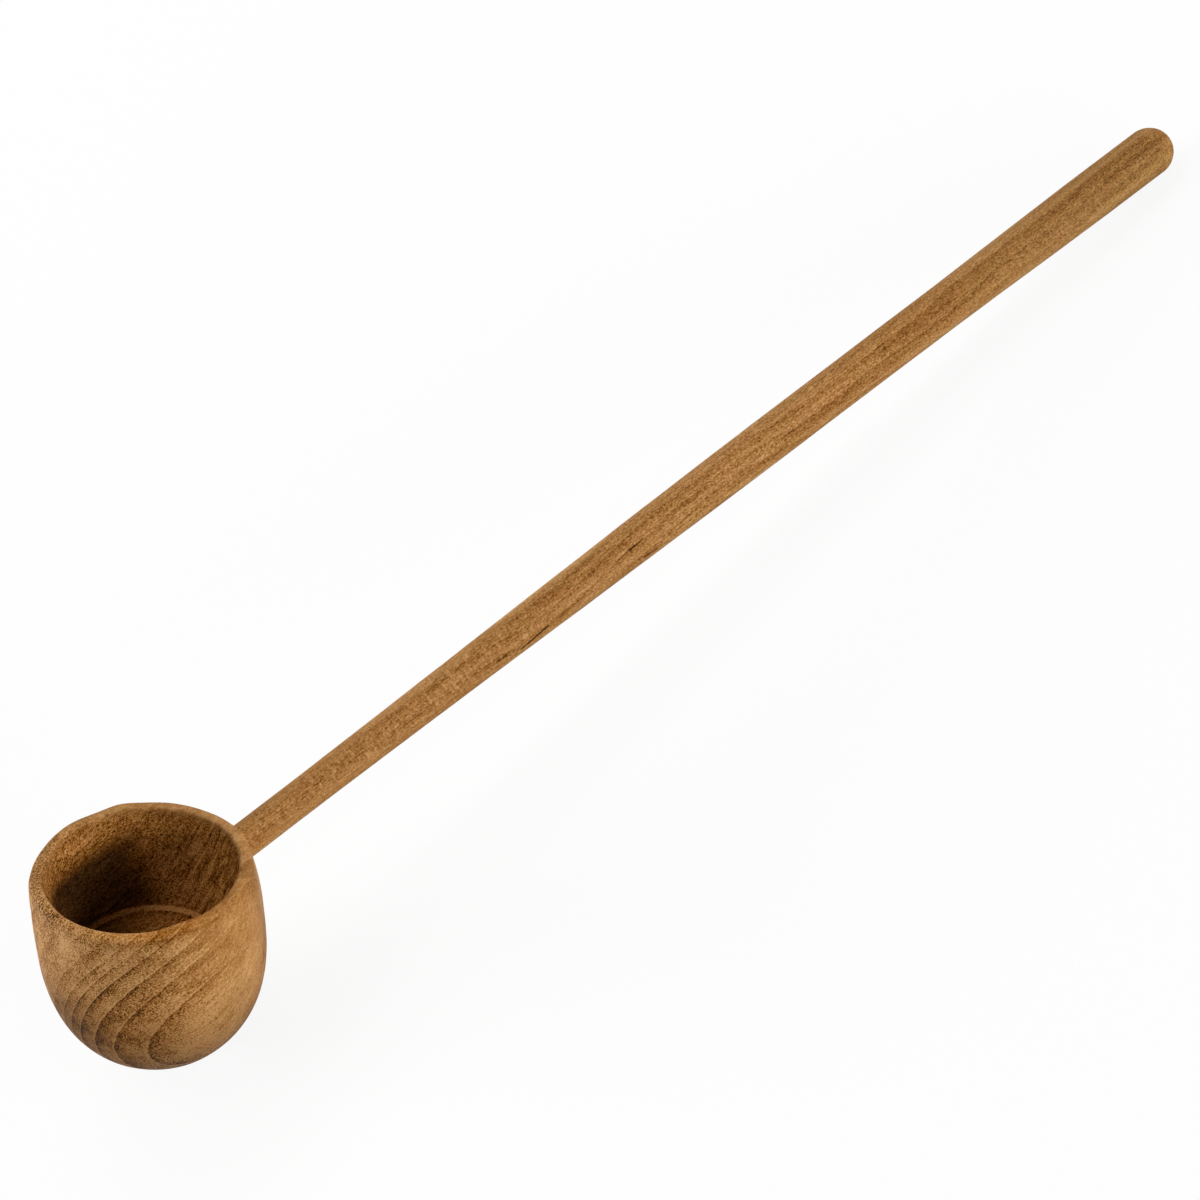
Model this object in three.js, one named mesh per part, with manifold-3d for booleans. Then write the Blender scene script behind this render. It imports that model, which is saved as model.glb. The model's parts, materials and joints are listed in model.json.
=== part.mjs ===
import * as THREE from 'three';
import { mergeVertices } from 'three/addons/utils/BufferGeometryUtils.js';
import Module from 'manifold-3d';

// A long-handled teak serving spoon, lying on a table as it comes to rest by itself.
// It is two pieces: a turned and hand-finished cup, and a tapered round handle. The
// handle's end is coped to the cup's side, and a short tenon on it is glued into the wall.
// Millimetres, +Z up. The table is Z = 0 and the handle runs along +X.
// Each piece is shaped about the cup's own axis first, with the rim in the plane Z = 0
// and the handle rising towards +X. The finished spoon is then laid down.

// Outside of the cup. Depths run down its axis from the plane of the rim.
const RIM_RADIUS = 23.7;
const RIM_WALL = 2.5;
const RIM_ROUNDING = 0.9;
const BELLY_RADIUS = 25;
const BELLY_DEPTH = 13;
const BOWL_HEIGHT = 48.2;
const FOOT_RADIUS = 7;
// Exponent of the side below the belly: 2 is an ellipse, more is squarer.
const BOTTOM_FULLNESS = 2.9;

// Cavity of the cup: a wall that closes in, a narrow ledge, and a flat floor just below it.
const LEDGE_DEPTH = 23.8;
const LEDGE_RADIUS = 17.6;
const LEDGE_WIDTH = 1.2;
const LEDGE_STEP = 0.6;
// Exponent of the cavity wall: 1 is a straight taper, more is steeper at the mouth.
const CAVITY_CURVE = 1.5;
// The cavity leans: its floor is centred this far from the axis, away from the handle.
const FLOOR_SHIFT = 2;

// High and low spots of the hand-finished rim: degrees round from the handle, seen from
// above, the rise there, and how many degrees it spreads either way.
const RIM_SPOTS = [
  { at: 75, rise: 0.6, spread: 9 },
  { at: 108, rise: 0.45, spread: 15 },
  { at: 27, rise: -0.2, spread: 14 },
  { at: -95, rise: 0.4, spread: 9 },
  { at: -70, rise: -0.2, spread: 12 },
];
// The spots die out this far down the wall.
const RIM_SPOT_DEPTH = 9;

// Handle, measured along its axis from the outside of the rim.
const HANDLE_LENGTH = 264;
const HANDLE_RISE_DEGREES = 19.6;
const HANDLE_AXIS_DEPTH = 3.9;
const NECK_DIAMETER = 7.9;
const MIDDLE_DIAMETER = 10.2;
const GRIP_DIAMETER = 11.1;
const TIP_DOME = 5.8;
const HANDLE_BOW = 0.4;
// The two swells of the handle, each from one share of its length to another.
const MIDDLE_SWELL = [0.03, 0.58];
const GRIP_SWELL = [0.72, 0.93];

// The glued joint.
const TENON_DIAMETER = 4.2;
const SOCKET_SKIN = 1.8;
const GLUE_LINE = 0.3;

// Facets.
const CUP_SEGMENTS = 60;
const HANDLE_SEGMENTS = 32;
const SIDE_STEPS = 12;
const WALL_STEPS = 8;
const ROUND_STEPS = 4;
const SHAFT_STEPS = 24;
const WELD_DISTANCE = 1e-4;

const BOWL_COLOUR = 0x94673a;
const HANDLE_COLOUR = 0x976b3f;
const OILED_ROUGHNESS = 0.6;

const wasm = await Module();
wasm.setup();

const rise = THREE.MathUtils.degToRad(HANDLE_RISE_DEGREES);
const mouthRadius = RIM_RADIUS - RIM_WALL;
const floorDepth = LEDGE_DEPTH + LEDGE_STEP;
const footShare = 1 - (FOOT_RADIUS / BELLY_RADIUS) ** 2;
// Depth at which the curved side would close if the foot weren't cut flat.
const closingDepth = BELLY_DEPTH + (BOWL_HEIGHT - BELLY_DEPTH) / footShare ** (1 / BOTTOM_FULLNESS);

// A closed triangle mesh as a solid that can be joined and cut.
function solidOf(geometry) {
  geometry.deleteAttribute('normal');
  geometry.deleteAttribute('uv');
  const welded = mergeVertices(geometry, WELD_DISTANCE);
  const triangles = [];
  for (let i = 0; i < welded.index.count; i += 3) {
    const [a, b, c] = [0, 1, 2].map((k) => welded.index.getX(i + k));
    // A triangle at the pole of a turned shape has two corners in one place.
    if (a !== b && b !== c && c !== a) triangles.push(a, b, c);
  }
  return new wasm.Manifold(new wasm.Mesh({
    numProp: 3,
    vertProperties: welded.attributes.position.array,
    triVerts: Uint32Array.from(triangles),
  }));
}

function geometryOf(solid) {
  const { vertProperties, triVerts } = solid.getMesh();
  const geometry = new THREE.BufferGeometry();
  geometry.setAttribute('position', new THREE.BufferAttribute(vertProperties, 3));
  geometry.setIndex(new THREE.BufferAttribute(triVerts, 1));
  geometry.computeVertexNormals();
  return geometry;
}

// Turns a profile of (radius, height) about +Z. reshape may then move each point, and is
// told which point of the profile it came from.
function turned(profile, segments, reshape) {
  const geometry = new THREE.LatheGeometry(profile, segments).rotateX(Math.PI / 2);
  const position = geometry.attributes.position;
  const point = new THREE.Vector3();
  for (let i = 0; reshape && i < position.count; i += 1) {
    point.fromBufferAttribute(position, i);
    reshape(point, i % profile.length);
    position.setXYZ(i, point.x, point.y, point.z);
  }
  return geometry;
}

// Value between low and high at which a rising function is zero.
function crossing(rising, low, high) {
  for (let halving = 0; halving < 50; halving += 1) {
    const middle = (low + high) / 2;
    if (rising(middle) > 0) high = middle;
    else low = middle;
  }
  return (low + high) / 2;
}

function steps(count) {
  return Array.from({ length: count + 1 }, (_, i) => i / count);
}

function arc(centreRadius, centreHeight, radius, from, to) {
  return steps(ROUND_STEPS).map((t) => {
    const angle = from + (to - from) * t;
    return new THREE.Vector2(centreRadius + radius * Math.cos(angle), centreHeight + radius * Math.sin(angle));
  });
}

// Outside of the cup

function upperSideRadius(depth) {
  return BELLY_RADIUS - (BELLY_RADIUS - RIM_RADIUS) * ((BELLY_DEPTH - depth) / BELLY_DEPTH) ** 2;
}

// From the foot up to the belly.
function lowerSide() {
  const footAngle = Math.acos(FOOT_RADIUS / BELLY_RADIUS);
  return steps(SIDE_STEPS).map((t) => {
    const angle = footAngle * (1 - t);
    const drop = (closingDepth - BELLY_DEPTH) * Math.sin(angle) ** (2 / BOTTOM_FULLNESS);
    return new THREE.Vector2(BELLY_RADIUS * Math.cos(angle), -BELLY_DEPTH - drop);
  });
}

// From above the belly up to a depth under the rim.
function upperSide(topDepth) {
  return steps(WALL_STEPS).slice(1).map((t) => {
    const depth = BELLY_DEPTH + (topDepth - BELLY_DEPTH) * t;
    return new THREE.Vector2(upperSideRadius(depth), -depth);
  });
}

// Inside of the cup

function cavityRadius(depth) {
  return mouthRadius - (mouthRadius - LEDGE_RADIUS) * (depth / LEDGE_DEPTH) ** CAVITY_CURVE;
}

function cavityShift(depth) {
  return FLOOR_SHIFT * depth / LEDGE_DEPTH;
}

// From under the rim down the wall, over the ledge and across the floor.
function cavityProfile(topDepth) {
  const wall = steps(WALL_STEPS).slice(1).map((t) => {
    const depth = topDepth + (LEDGE_DEPTH - topDepth) * t;
    return new THREE.Vector2(cavityRadius(depth), -depth);
  });
  const floorRadius = LEDGE_RADIUS - LEDGE_WIDTH;
  return [
    ...wall,
    new THREE.Vector2(floorRadius, -LEDGE_DEPTH),
    new THREE.Vector2(floorRadius, -floorDepth),
    new THREE.Vector2(0, -floorDepth),
  ];
}

// How far the hand-finished rim stands above its plane, in a direction round the axis.
function rimRise(x, y) {
  const degrees = THREE.MathUtils.radToDeg(Math.atan2(y, x));
  return RIM_SPOTS.reduce((sum, spot) => {
    const away = THREE.MathUtils.euclideanModulo(degrees - spot.at + 180, 360) - 180;
    return sum + spot.rise * Math.exp(-((away / spot.spread) ** 2));
  }, 0);
}

function cup() {
  const outerRound = arc(upperSideRadius(RIM_ROUNDING) - RIM_ROUNDING, -RIM_ROUNDING, RIM_ROUNDING, 0, Math.PI / 2);
  const innerRound = arc(cavityRadius(RIM_ROUNDING) + RIM_ROUNDING, -RIM_ROUNDING, RIM_ROUNDING, Math.PI / 2, Math.PI);
  const outside = [
    new THREE.Vector2(0, -BOWL_HEIGHT),
    ...lowerSide(),
    ...upperSide(RIM_ROUNDING).slice(0, -1),
    ...outerRound,
  ];
  const profile = [...outside, ...innerRound, ...cavityProfile(RIM_ROUNDING)];
  return turned(profile, CUP_SEGMENTS, (point, index) => {
    const depth = -point.z;
    const rimShare = Math.max(0, 1 - depth / RIM_SPOT_DEPTH);
    point.z += rimRise(point.x, point.y) * rimShare;
    if (index >= outside.length) point.x -= cavityShift(depth);
  });
}

// The space that the cup's outside and its glue take up, open upwards, which copes the
// handle's end.
function copingBlock() {
  const grown = ({ x, y }) => new THREE.Vector2(x + GLUE_LINE, y);
  const above = NECK_DIAMETER;
  const profile = [
    new THREE.Vector2(0, -BOWL_HEIGHT),
    ...lowerSide().map(grown),
    ...upperSide(0).map(grown),
    new THREE.Vector2(RIM_RADIUS + GLUE_LINE, above),
    new THREE.Vector2(0, above),
  ];
  return turned(profile, CUP_SEGMENTS);
}

// Handle

// Takes a shape made along +Z to the handle's axis, its origin at the outside of the rim.
const handlePlace = new THREE.Matrix4()
  .makeRotationY(Math.PI / 2 - rise)
  .setPosition(RIM_RADIUS, 0, -HANDLE_AXIS_DEPTH);

function shaftRadius(distance) {
  const share = distance / HANDLE_LENGTH;
  const middle = (MIDDLE_DIAMETER - NECK_DIAMETER) * THREE.MathUtils.smoothstep(share, ...MIDDLE_SWELL);
  const grip = (GRIP_DIAMETER - MIDDLE_DIAMETER) * THREE.MathUtils.smoothstep(share, ...GRIP_SWELL);
  return (NECK_DIAMETER + middle + grip) / 2;
}

function shaft() {
  // It starts inside the cup, and the coping block cuts that end away.
  const start = -RIM_RADIUS / 2;
  const domeStart = HANDLE_LENGTH - TIP_DOME;
  const side = steps(SHAFT_STEPS).map((t) => {
    const distance = domeStart * t;
    return new THREE.Vector2(shaftRadius(distance), distance);
  });
  const dome = steps(2 * ROUND_STEPS).slice(1).map((t) => {
    const angle = t * Math.PI / 2;
    const radius = t < 1 ? shaftRadius(domeStart) * Math.cos(angle) : 0;
    return new THREE.Vector2(radius, domeStart + TIP_DOME * Math.sin(angle));
  });
  const profile = [
    new THREE.Vector2(0, start),
    new THREE.Vector2(shaftRadius(0), start),
    ...side,
    ...dome,
  ];
  return turned(profile, HANDLE_SEGMENTS, (point) => {
    const share = THREE.MathUtils.clamp(point.z / HANDLE_LENGTH, 0, 1);
    point.x -= HANDLE_BOW * Math.sin(Math.PI * share);
  }).applyMatrix4(handlePlace);
}

// Distance from the outside of the rim, inwards along the handle's axis, to the cavity.
const wallAlongAxis = crossing((inwards) => {
  const depth = HANDLE_AXIS_DEPTH + inwards * Math.sin(rise);
  const reached = RIM_RADIUS - inwards * Math.cos(rise);
  return cavityRadius(depth) - cavityShift(depth) - reached;
}, 0, mouthRadius);
const socketDepth = wallAlongAxis - SOCKET_SKIN;
const tenonReach = socketDepth - GLUE_LINE;

// A round peg on the handle's axis that ends inwards of the rim's outside, and runs out
// past the wall.
function peg(radius, inwards) {
  const outwards = NECK_DIAMETER;
  const length = inwards + outwards;
  return new THREE.CylinderGeometry(radius, radius, length, HANDLE_SEGMENTS)
    .rotateX(Math.PI / 2)
    .translate(0, 0, length / 2 - inwards)
    .applyMatrix4(handlePlace);
}

const socket = solidOf(peg(TENON_DIAMETER / 2 + GLUE_LINE, socketDepth));
const tenon = solidOf(peg(TENON_DIAMETER / 2, tenonReach));
const bowlSolid = solidOf(cup()).subtract(socket);
const handleSolid = solidOf(shaft()).subtract(solidOf(copingBlock())).add(tenon);

function piece(name, solid, color) {
  const material = new THREE.MeshStandardMaterial({ color, roughness: OILED_ROUGHNESS, metalness: 0 });
  const mesh = new THREE.Mesh(geometryOf(solid), material);
  mesh.name = name;
  return mesh;
}

const bowl = piece('bowl', bowlSolid, BOWL_COLOUR);
const handle = piece('handle', handleSolid, HANDLE_COLOUR);

// Laying the spoon down

// Height of a piece's lowest point once the spoon is tipped towards the handle's tip.
function lowestPoint(mesh, tip) {
  const position = mesh.geometry.attributes.position;
  let lowest = Infinity;
  for (let i = 0; i < position.count; i += 1) {
    lowest = Math.min(lowest, position.getZ(i) * Math.cos(tip) - position.getX(i) * Math.sin(tip));
  }
  return lowest;
}

const laid = new THREE.Group();
laid.add(bowl, handle);
// Tipped until the cup's bottom and the handle's tip touch the table together.
laid.rotation.y = crossing((tip) => lowestPoint(bowl, tip) - lowestPoint(handle, tip), 0, Math.PI / 2);
const box = new THREE.Box3().setFromObject(laid, true);
const centre = box.getCenter(new THREE.Vector3());
laid.position.set(-centre.x, -centre.y, -box.min.z);

const spoon = new THREE.Group();
spoon.add(laid);

export default spoon;
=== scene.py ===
# %% [markdown]
# # A long-handled teak serving spoon
# The real spoon is two pieces of teak. A deep cup is turned on a lathe and finished by hand,
# and a tapered round rod is glued into its side as the handle.
# This lesson builds each piece as a fine mesh over a fixed construction model,
# gives both a wood that runs right through the solid, and lights them as for a studio picture.
#
# Every size is in metres. The construction model says where the pieces are, so it comes first.

# %% Load the construction model
import json
import math

import bpy
import numpy as np
from mathutils import Euler, Matrix, Vector, noise


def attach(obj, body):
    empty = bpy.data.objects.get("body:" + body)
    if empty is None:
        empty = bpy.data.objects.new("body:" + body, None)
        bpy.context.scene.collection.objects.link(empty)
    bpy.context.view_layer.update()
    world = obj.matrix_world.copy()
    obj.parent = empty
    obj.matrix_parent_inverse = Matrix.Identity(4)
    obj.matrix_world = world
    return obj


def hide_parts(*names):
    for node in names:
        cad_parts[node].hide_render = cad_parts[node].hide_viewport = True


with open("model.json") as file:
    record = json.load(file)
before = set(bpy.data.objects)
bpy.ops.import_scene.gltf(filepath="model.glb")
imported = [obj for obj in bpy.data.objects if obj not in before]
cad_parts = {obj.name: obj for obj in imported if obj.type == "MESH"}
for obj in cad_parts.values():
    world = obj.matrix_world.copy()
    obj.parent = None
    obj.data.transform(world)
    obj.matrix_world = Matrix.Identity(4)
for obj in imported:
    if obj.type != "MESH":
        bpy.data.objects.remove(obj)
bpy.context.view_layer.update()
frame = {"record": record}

# %% [markdown]
# ## Where the cup stands
# The spoon lies on the bottom of its cup and the tip of its handle, so the cup leans.
# A turned shape is easiest to draw upright, so the cup gets a frame of its own:
# its origin is the middle of the rim, Z goes up the lathe axis and X points to the handle.
# The flat foot under the cup is known from the model, and the frame is worked out from it.

# %% Find the cup's own frame
BOWL_HEIGHT = 0.0482

foot = next(mount for mount in frame["record"]["mounts"] if mount["name"] == "foot")
cup_up = -Vector(foot["axis"]).normalized()
cup_across = Vector((0, 1, 0))
cup_forward = cup_across.cross(cup_up)
rim_centre = Vector(foot["pos_m"]) + cup_up * BOWL_HEIGHT
cup_place = Matrix((cup_forward, cup_across, cup_up)).transposed().to_4x4()
cup_place.translation = rim_centre
print("rim centre:", [round(v, 4) for v in rim_centre])

# %% [markdown]
# ## The camera
# The picture looks down on the spoon from its side with a long lens, and the frame is turned
# until the handle runs from corner to corner. A camera could be turned by hand,
# but a compass angle, a height angle and a roll say plainly where it is.

# %% Set up the camera
AIM = Vector((-0.009367, -0.004724, 0.020))
DISTANCE = 1.1029
COMPASS_DEGREES = 7.709
HEIGHT_DEGREES = 44.026
ROLL_DEGREES = 36.36
LENS = 150
SENSOR = 36

compass, height, roll = (math.radians(a) for a in (COMPASS_DEGREES, HEIGHT_DEGREES, ROLL_DEGREES))
ahead = Vector((
    math.sin(compass) * math.cos(height),
    math.cos(compass) * math.cos(height),
    -math.sin(height),
))
level = Vector((math.cos(compass), -math.sin(compass), 0))
above = level.cross(ahead)
picture_right = level * math.cos(roll) - above * math.sin(roll)
picture_up = above * math.cos(roll) + level * math.sin(roll)



def new_object(name, data):
    made = bpy.data.objects.new(name, data)
    bpy.context.scene.collection.objects.link(made)
    return made


camera_data = bpy.data.cameras.new("studio_camera")
camera_data.lens = LENS
camera_data.sensor_width = SENSOR
camera = new_object("studio_camera", camera_data)
camera.matrix_world = Matrix((picture_right, picture_up, -ahead)).transposed().to_4x4()
camera.location = AIM - ahead * DISTANCE
bpy.context.scene.camera = camera
print("camera at", [round(v, 3) for v in camera.location])

# %% [markdown]
# ## The cup's section
# A turner cuts the cup to one section that is spun round the lathe axis.
# The outside swells from the rim to a belly and closes on a small flat foot.
# The inside tapers to a narrow ledge round a flat floor.
# Each stretch is a formula, and every corner is eased by a curve, as sandpaper eases it.

# %% Draw the cup's section
RIM_RADIUS = 0.0237
RIM_WALL = 0.0025
OUTER_EASE = 0.0013
INNER_EASE = 0.0007
BELLY_RADIUS = 0.0250
BELLY_DEPTH = 0.0130
FOOT_RADIUS = 0.0070
FOOT_EASE = 0.0009
BOTTOM_FULLNESS = 2.9
LEDGE_DEPTH = 0.0238
LEDGE_RADIUS = 0.0176
LEDGE_WIDTH = 0.0012
LEDGE_STEP = 0.0006
LEDGE_EASE = 0.0004
CAVITY_CURVE = 1.5
MOUTH_RADIUS = RIM_RADIUS - RIM_WALL


def eased_corner(start, corner, end, steps):
    """A smooth bend from start to end, drawn towards the corner between them."""
    share = np.linspace(0, 1, steps + 1)[:, None]
    start, corner, end = (np.array(point) for point in (start, corner, end))
    return (1 - share) ** 2 * start + 2 * share * (1 - share) * corner + share ** 2 * end


def upper_side(depth):
    return BELLY_RADIUS - (BELLY_RADIUS - RIM_RADIUS) * (1 - depth / BELLY_DEPTH) ** 2


def lower_side(radius):
    open_share = 1 - (FOOT_RADIUS / BELLY_RADIUS) ** 2
    full_drop = (BOWL_HEIGHT - BELLY_DEPTH) / open_share ** (1 / BOTTOM_FULLNESS)
    return BELLY_DEPTH + full_drop * (1 - (radius / BELLY_RADIUS) ** 2) ** (1 / BOTTOM_FULLNESS)


def cavity_wall(depth):
    return MOUTH_RADIUS - (MOUTH_RADIUS - LEDGE_RADIUS) * (depth / LEDGE_DEPTH) ** CAVITY_CURVE


foot_edge = eased_corner(
    (FOOT_RADIUS - FOOT_EASE, BOWL_HEIGHT), (FOOT_RADIUS, BOWL_HEIGHT),
    (FOOT_RADIUS + FOOT_EASE, lower_side(FOOT_RADIUS + FOOT_EASE)), 6)
opening_angle = np.linspace(math.acos((FOOT_RADIUS + FOOT_EASE) / BELLY_RADIUS), 0, 64)[1:]
lower_radius = BELLY_RADIUS * np.cos(opening_angle)
lower = np.stack([lower_radius, lower_side(lower_radius)], 1)
upper_depth = np.linspace(BELLY_DEPTH, OUTER_EASE, 28)[1:]
upper = np.stack([upper_side(upper_depth), upper_depth], 1)
outer_edge = eased_corner(upper[-1], (RIM_RADIUS, 0), (RIM_RADIUS - OUTER_EASE, 0), 10)[1:]
inner_edge = eased_corner(
    (MOUTH_RADIUS + INNER_EASE, 0), (MOUTH_RADIUS, 0), (cavity_wall(INNER_EASE), INNER_EASE), 8)
wall_depth = np.linspace(INNER_EASE, LEDGE_DEPTH - LEDGE_EASE, 56)[1:]
wall = np.stack([cavity_wall(wall_depth), wall_depth], 1)
ledge_corner = eased_corner(
    wall[-1], (LEDGE_RADIUS, LEDGE_DEPTH), (LEDGE_RADIUS - LEDGE_EASE, LEDGE_DEPTH), 5)[1:]
floor_radius = LEDGE_RADIUS - LEDGE_WIDTH
floor_depth = LEDGE_DEPTH + LEDGE_STEP
ledge_lip = eased_corner(
    (floor_radius + LEDGE_EASE / 2, LEDGE_DEPTH), (floor_radius, LEDGE_DEPTH),
    (floor_radius, LEDGE_DEPTH + LEDGE_EASE / 2), 3)
floor_corner = eased_corner(
    (floor_radius, floor_depth - LEDGE_EASE / 2), (floor_radius, floor_depth),
    (floor_radius - LEDGE_EASE / 2, floor_depth), 3)
floor_rings = np.linspace(floor_radius, 0, 18)[1:-1]
floor = np.stack([floor_rings, np.full_like(floor_rings, floor_depth)], 1)
foot_rings = np.linspace(0, FOOT_RADIUS - FOOT_EASE, 6)[1:-1]
foot_flat = np.stack([foot_rings, np.full_like(foot_rings, BOWL_HEIGHT)], 1)

outside = np.vstack([foot_flat, foot_edge, lower, upper, outer_edge])
inside = np.vstack([inner_edge, wall, ledge_corner, ledge_lip, floor_corner, floor])
section = np.vstack([outside, inside])
print("cup section:", len(outside), "points outside,", len(inside), "inside")

# %% [markdown]
# ## Hand work on the cup
# The lathe leaves a true circle, and the hand tools that follow don't.
# The rim rises and dips by half a millimetre, swells a little away from the handle,
# and is rubbed flat at one spot of its inner edge. The hollow leans away from the handle,
# and the skin is a little uneven all over.
# A sculpt could add this, but a few gentle waves with a place and a width keep it measurable.

# %% Work the turned section into a hand-finished cup
CUP_SEGMENTS = 288
FLOOR_SHIFT = 0.0020
RIM_RISES = [(75, 0.0006, 9), (108, 0.00045, 15), (27, -0.0002, 14), (-95, 0.0004, 9),
             (-70, -0.0002, 12), (168, 0.0006, 13), (95, 0.0003, 70)]
RIM_RISE_DEPTH = 0.009
RIM_SWELLS = [(158, 0.0003, 9), (140, 0.0005, 35)]
RIM_SWELL_DEPTH = 0.007
FACET_DEGREES = 100
FACET_DEPTH = 0.0006
FACET_REACH = 0.006
SKIN_WAVE = 0.011
SKIN_HEIGHT = 0.00012
RIPPLE_WAVE = 0.0035
RIPPLE_HEIGHT = 0.00003


def degrees_from(turn, place):
    """How far each turn is from a place on the circle, the short way round."""
    return (np.degrees(turn) - place + 180) % 360 - 180


def off_true(turn, spots):
    """How far the rim is off a true circle. A spot is an angle, an amount and a spread."""
    off = np.zeros_like(turn)
    for at, by, spread in spots:
        off += by * np.exp(-(degrees_from(turn, at) / spread) ** 2)
    return off


def skin_noise(points, wave):
    return np.array([noise.noise(Vector(point) / wave) for point in points])


turn = np.linspace(0, 2 * math.pi, CUP_SEGMENTS, endpoint=False)
radius, depth = (section[:, column][:, None] for column in (0, 1))
is_inside = (np.arange(len(section)) >= len(outside))[:, None]
lean = np.where(is_inside, FLOOR_SHIFT * depth / LEDGE_DEPTH, 0)
lift = off_true(turn, RIM_RISES) * np.clip(1 - depth / RIM_RISE_DEPTH, 0, 1)
swollen = radius + off_true(turn, RIM_SWELLS) * np.clip(1 - depth / RIM_SWELL_DEPTH, 0, 1)
rings = np.stack([
    swollen * np.cos(turn) - lean,
    swollen * np.sin(turn) + 0 * depth,
    lift - depth,
], 2).reshape(-1, 3)
outwards = np.stack([np.cos(turn), np.sin(turn)], 1)
bump = skin_noise(rings, SKIN_WAVE) * SKIN_HEIGHT + skin_noise(rings, RIPPLE_WAVE) * RIPPLE_HEIGHT
rings[:, :2] += np.tile(outwards, (len(section), 1)) * bump[:, None]
rings[:, 2] += bump * np.repeat(np.clip(1 - section[:, 1] / RIM_RISE_DEPTH, 0, 1), CUP_SEGMENTS)

facet_side = math.radians(FACET_DEGREES)
facet_edge = np.array([MOUTH_RADIUS * math.cos(facet_side), MOUTH_RADIUS * math.sin(facet_side), 0])
facet_edge[2] = off_true(np.array([facet_side]), RIM_RISES)[0]
facet_out = np.array([-math.cos(facet_side), -math.sin(facet_side), 1]) / math.sqrt(2)
near_facet = np.linalg.norm(rings - facet_edge, axis=1) < FACET_REACH
beyond = np.clip((rings - facet_edge) @ facet_out + FACET_DEPTH, 0, None) * near_facet
rings -= beyond[:, None] * facet_out
print("rim rises by up to", round(float(off_true(turn, RIM_RISES).max()) * 1000, 2), "mm")

# %% [markdown]
# ## Where the rim runs into the handle
# On the real spoon the top of the rim flows up onto the handle without a step.
# A boolean union and a bevel could do it, but the two pieces stay separate here,
# so the rim is lifted to the handle's top by a soft maximum: the higher of two heights, blended.

# %% Lift the rim to the handle
HANDLE_RISE_DEGREES = 19.6
HANDLE_AXIS_DEPTH = 0.0039
NECK_DIAMETER = 0.0079
RIM_BLEND = 0.0007

handle_rise = math.radians(HANDLE_RISE_DEGREES)


def soft_maximum(first, second, blend):
    share = np.clip(0.5 + (first - second) / (2 * blend), 0, 1)
    return first * share + second * (1 - share) + blend * share * (1 - share)


neck = NECK_DIAMETER / 2
half_chord = np.sqrt(np.clip(neck ** 2 - rings[:, 1] ** 2, 0, None)) / math.cos(handle_rise)
handle_top = (rings[:, 0] - RIM_RADIUS) * math.tan(handle_rise) + half_chord - HANDLE_AXIS_DEPTH
near_handle = (rings[:, 0] > MOUTH_RADIUS) & (rings[:, 2] > -OUTER_EASE) & (np.abs(rings[:, 1]) < neck)
lifted = soft_maximum(rings[:, 2], handle_top, RIM_BLEND)
rings[near_handle, 2] = lifted[near_handle]
print("rim points lifted to the handle:", int(near_handle.sum()))

# %% [markdown]
# ## The cup's mesh
# The section's points, repeated round the circle, become rings of four-sided faces.
# The foot and the floor each close on one middle point, so the cup is a sealed solid
# with a wall of real thickness, and no Solidify modifier is needed.

# %% Join the rings into the cup


def ring_faces(ring_count, segments):
    """Four-sided faces between neighbouring rings, and a fan of triangles at each end."""
    first_pole = ring_count * segments
    last_pole = first_pole + 1
    faces = []
    for step in range(segments):
        after = (step + 1) % segments
        faces.append((first_pole, after, step))
        for ring in range(ring_count - 1):
            low = ring * segments
            high = low + segments
            faces.append((low + step, low + after, high + after, high + step))
        last = (ring_count - 1) * segments
        faces.append((last + step, last + after, last_pole))
    return faces


def smooth_mesh(name, points, faces):
    mesh = bpy.data.meshes.new(name)
    mesh.from_pydata([tuple(point) for point in points], [], faces)
    mesh.polygons.foreach_set("use_smooth", [True] * len(mesh.polygons))
    mesh.update()
    return mesh


poles = np.array([(0, 0, -BOWL_HEIGHT), (-FLOOR_SHIFT * floor_depth / LEDGE_DEPTH, 0, -floor_depth)])
cup_mesh = smooth_mesh("teak_bowl", np.vstack([rings, poles]), ring_faces(len(section), CUP_SEGMENTS))
cup_mesh.transform(cup_place)
bowl = new_object("teak_bowl", cup_mesh)
print("cup:", len(cup_mesh.vertices), "points,", len(cup_mesh.polygons), "faces")

# %% [markdown]
# ## A bench for nodes
# Geometry and material trees are both made of nodes that are added, set and linked.
# This small helper does the three in one call, so that each tree reads as the recipe it is.

# %% Make the node bench


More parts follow.
